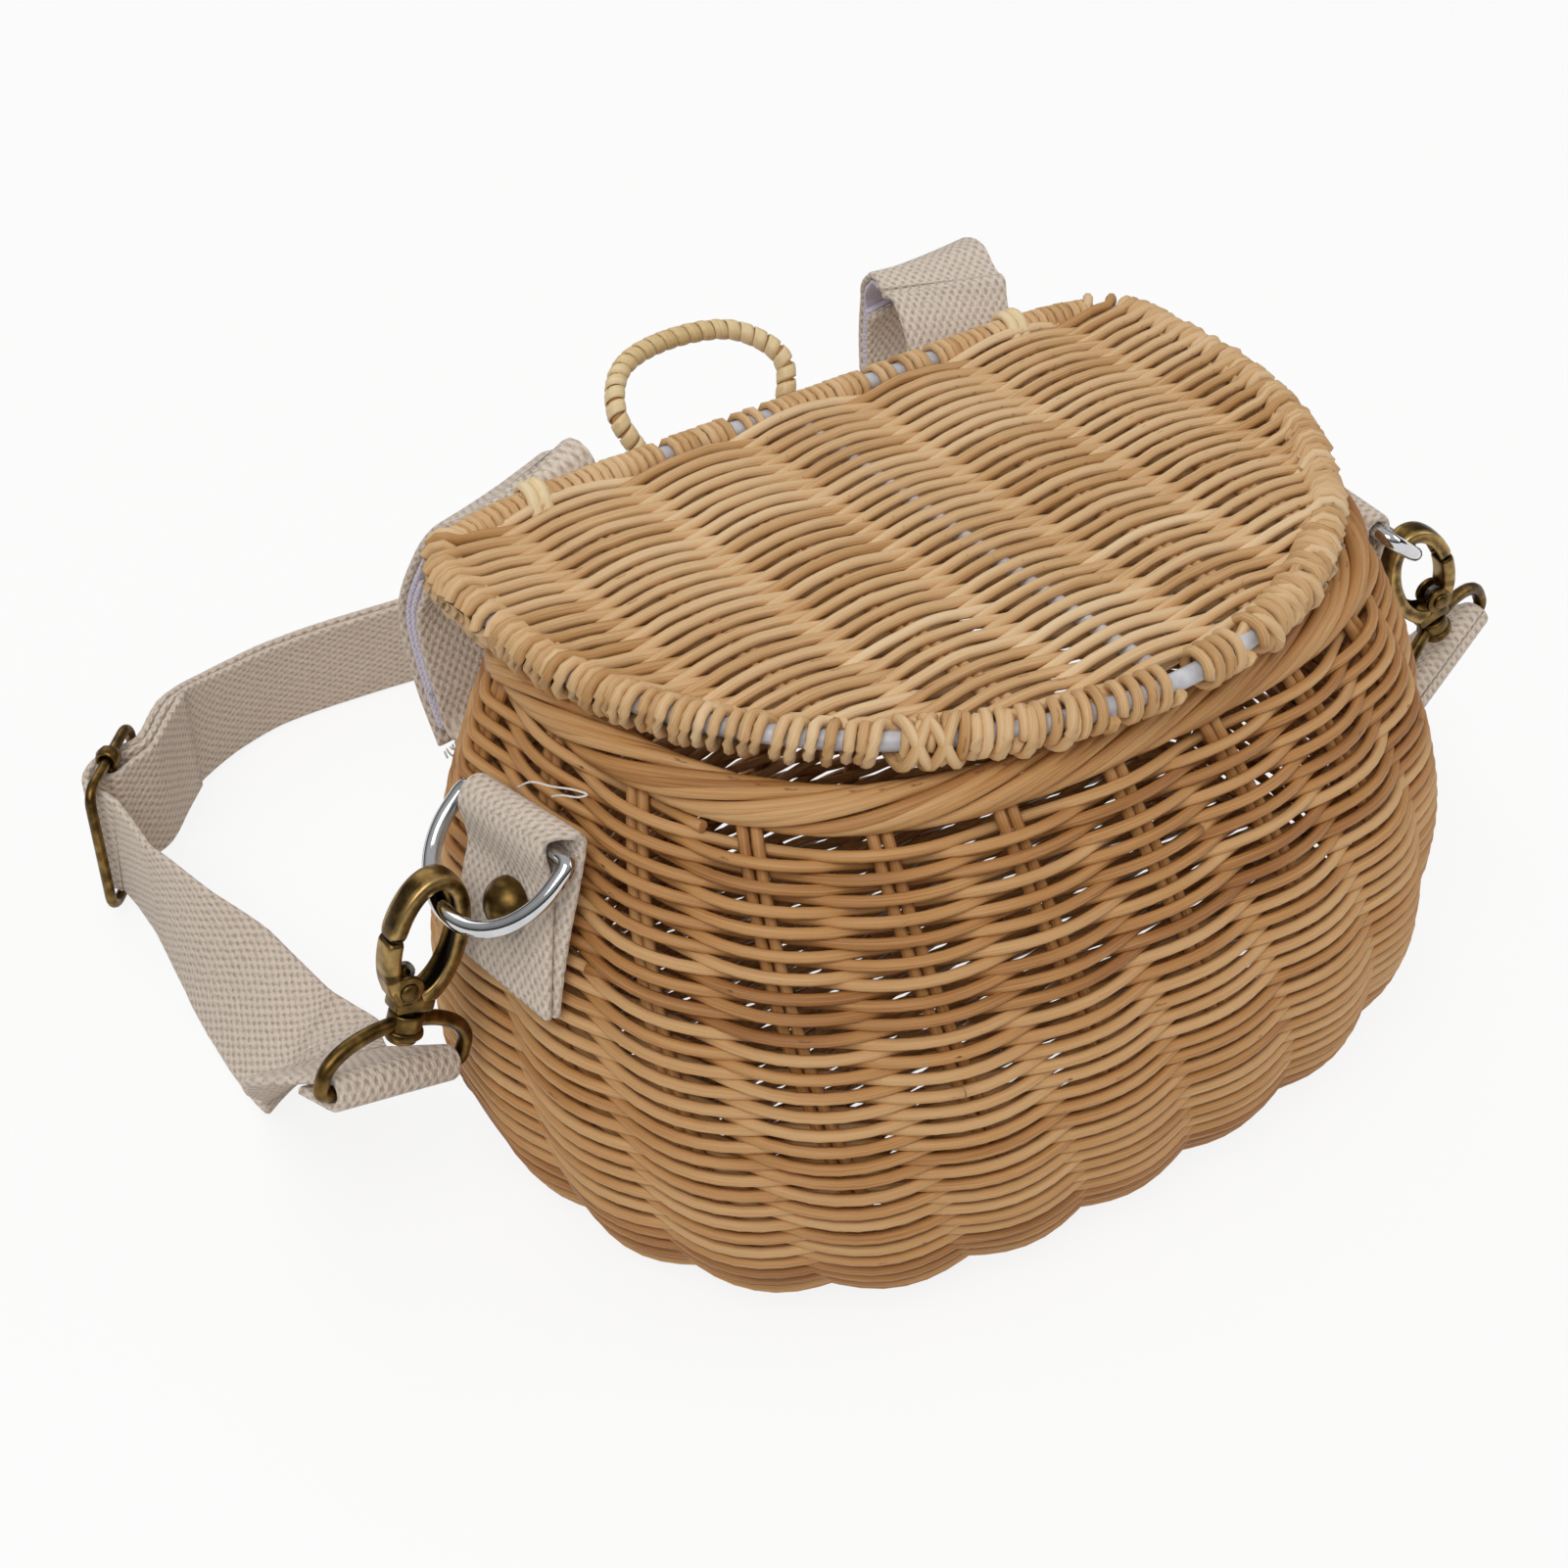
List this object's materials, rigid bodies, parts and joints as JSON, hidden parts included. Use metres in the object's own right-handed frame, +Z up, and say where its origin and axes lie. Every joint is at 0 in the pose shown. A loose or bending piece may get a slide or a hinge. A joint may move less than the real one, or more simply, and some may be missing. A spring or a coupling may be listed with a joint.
{
  "type": "bicycle basket",
  "caption": "Woven rattan bicycle basket, D-shaped, with a hinged woven lid, handlebar straps that close with hook and loop, a carry loop and a clip-on shoulder strap.",
  "frame": {"origin": "on the floor under the base, on the middle plane of the basket", "axes": "+X along the straight back edge to the right, -Y out of the rounded front, +Z up"},
  "size_m": [0.3226, 0.2747, 0.1374],
  "materials": {
    "rattan": "natural honey-coloured cane, satin",
    "pale_rattan": "paler natural cane, satin",
    "cane_peel": "split cane with its glossy skin",
    "coated_wire": "white coated wire",
    "cotton_webbing": "cream cotton webbing, coarse herringbone",
    "hook_and_loop_tape": "lilac-white hook and loop tape",
    "chrome_wire": "bright",
    "antique_brass": "antique, darkened",
    "spring_steel": "plain"
  },
  "bodies": {
    "basket": {"side_wall": "rattan", "base_panel": "rattan", "rim_border": "rattan", "handle_core": "rattan", "hinge_tie_left": "cane_peel", "hinge_tie_right": "cane_peel", "handle_wrap": "cane_peel", "bar_strap_left": "cotton_webbing", "bar_strap_right": "cotton_webbing", "tab_left": "cotton_webbing", "tab_right": "cotton_webbing", "shoulder_strap": "cotton_webbing", "loop_tape_left": "hook_and_loop_tape", "loop_tape_right": "hook_and_loop_tape", "rivet_left": "antique_brass", "rivet_right": "antique_brass", "rivet_washer_left": "antique_brass", "rivet_washer_right": "antique_brass", "strap_loop_left": "antique_brass", "strap_loop_right": "antique_brass", "slider_frame": "antique_brass", "slider_bar": "antique_brass"},
    "lid": {"lid_frame": "coated_wire", "lid_weave": "pale_rattan", "lid_cane_rib_1": "pale_rattan", "lid_cane_rib_2": "pale_rattan", "lid_wire_rib": "coated_wire", "lid_cane_rib_4": "pale_rattan", "lid_cane_rib_5": "pale_rattan", "lid_binding_middle": "cane_peel", "lid_binding_left": "cane_peel", "lid_binding_right": "cane_peel"},
    "flap_left": {"bar_flap_left": "cotton_webbing", "hook_tape_left": "hook_and_loop_tape"},
    "ring_left": {"d_ring_left": "chrome_wire"},
    "hook_left": {"hook_body_left": "antique_brass", "gate_pin_left": "antique_brass", "gate_spring_left": "spring_steel"},
    "gate_left": {"hook_gate_left": "antique_brass"},
    "flap_right": {"bar_flap_right": "cotton_webbing", "hook_tape_right": "hook_and_loop_tape"},
    "ring_right": {"d_ring_right": "chrome_wire"},
    "hook_right": {"hook_body_right": "antique_brass", "gate_pin_right": "antique_brass", "gate_spring_right": "spring_steel"},
    "gate_right": {"hook_gate_right": "antique_brass"}
  },
  "joints": [
    {"name": "lid_hinge", "type": "hinge", "parent": "basket", "child": "lid", "pos_m": [0, 0.05999, 0.1275], "axis": [-1, 0, 0], "range_deg": [0, 110]},
    {"name": "flap_peel_left", "type": "hinge", "parent": "basket", "child": "flap_left", "pos_m": [-0.05951, 0.07589, 0.12363], "axis": [0.9495, 0.3139, 0], "range_deg": [0, 60]},
    {"name": "flap_peel_right", "type": "hinge", "parent": "basket", "child": "flap_right", "pos_m": [0.06184, 0.08294, 0.13139], "axis": [0.9495, -0.3139, 0], "range_deg": [0, 60]},
    {"name": "ring_swing_left", "type": "hinge", "parent": "basket", "child": "ring_left", "pos_m": [-0.10592, -0.00092, 0.1035], "axis": [0.1011, -0.9949, 0], "range_deg": [-4, 1]},
    {"name": "hook_swivel_left", "type": "hinge", "parent": "basket", "child": "hook_left", "pos_m": [-0.13121, 0.00308, 0.06647], "axis": [0.3403, 0.0346, 0.9397], "range_deg": [-10, 2]},
    {"name": "gate_pivot_left", "type": "hinge", "parent": "hook_left", "child": "gate_left", "pos_m": [-0.13054, 0.00336, 0.0742], "axis": [-0.0028, 0.9994, -0.0357], "range_deg": [0, 20], "stiffness_Nm_per_rad": 0.05},
    {"name": "ring_swing_right", "type": "hinge", "parent": "basket", "child": "ring_right", "pos_m": [0.10745, -0.00695, 0.09853], "axis": [0.0972, 0.9953, 0], "range_deg": [-4, 1]},
    {"name": "hook_swivel_right", "type": "hinge", "parent": "basket", "child": "hook_right", "pos_m": [0.13436, -0.01615, 0.06316], "axis": [-0.4363, 0.0426, 0.8988], "range_deg": [-10, 2]},
    {"name": "gate_pivot_right", "type": "hinge", "parent": "hook_right", "child": "gate_right", "pos_m": [0.13284, -0.01621, 0.07078], "axis": [-0.1902, -0.9807, -0.0458], "range_deg": [0, 20], "stiffness_Nm_per_rad": 0.05}
  ]
}
